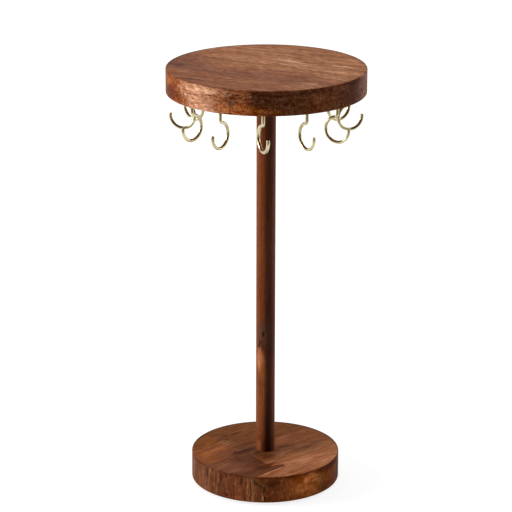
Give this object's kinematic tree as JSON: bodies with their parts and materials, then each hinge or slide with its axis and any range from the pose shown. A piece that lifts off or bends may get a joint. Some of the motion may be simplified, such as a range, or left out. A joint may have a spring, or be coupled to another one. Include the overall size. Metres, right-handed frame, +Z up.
{
  "type": "hair tie and bracelet stand",
  "caption": "Table stand for hair ties and bracelets: a round wooden top with a ring of brass cup hooks beneath, turning on a slim post in a round wooden base.",
  "frame": {"origin": "centre of the round base on the surface that the stand rests on, under its pads", "axes": "+Z up along the post, -Y towards the front of the stand as it is pictured, +X to the viewer's right"},
  "size_m": [0.13, 0.13, 0.2847],
  "materials": {
    "top_wood": "dark brown stained hardwood, satin lacquer, long fine grain",
    "post_wood": "red-brown stained hardwood dowel, satin lacquer, grain along the post",
    "base_wood": "brown stained hardwood, satin lacquer, figured grain",
    "hook_brass": "pale brass plate, polished and lacquered",
    "pin_steel": "bright ground steel",
    "spring_steel": "blued spring steel",
    "bush_acetal": "black acetal, moulded",
    "washer_nylon": "natural nylon",
    "screw_steel": "zinc-plated steel",
    "pad_rubber": "black foam rubber, matt"
  },
  "bodies": {
    "stand": {"base_disc": "base_wood", "post": "post_wood", "base_screw": "screw_steel", "pivot_pin": "pin_steel", "spring_ring": "spring_steel", "thrust_washer": "washer_nylon", "foot_pad_1": "pad_rubber", "foot_pad_2": "pad_rubber", "foot_pad_3": "pad_rubber", "foot_pad_4": "pad_rubber"},
    "top": {"top_disc": "top_wood", "pivot_bush": "bush_acetal", "hook_01": "hook_brass", "hook_02": "hook_brass", "hook_03": "hook_brass", "hook_04": "hook_brass", "hook_05": "hook_brass", "hook_06": "hook_brass", "hook_07": "hook_brass", "hook_08": "hook_brass", "hook_09": "hook_brass", "hook_10": "hook_brass", "hook_11": "hook_brass", "hook_12": "hook_brass"}
  },
  "joints": [
    {"name": "top_turn", "type": "hinge", "parent": "stand", "child": "top", "pos_m": [0, 0, 0.2685], "axis": [0, 0, 1], "continuous": true}
  ]
}
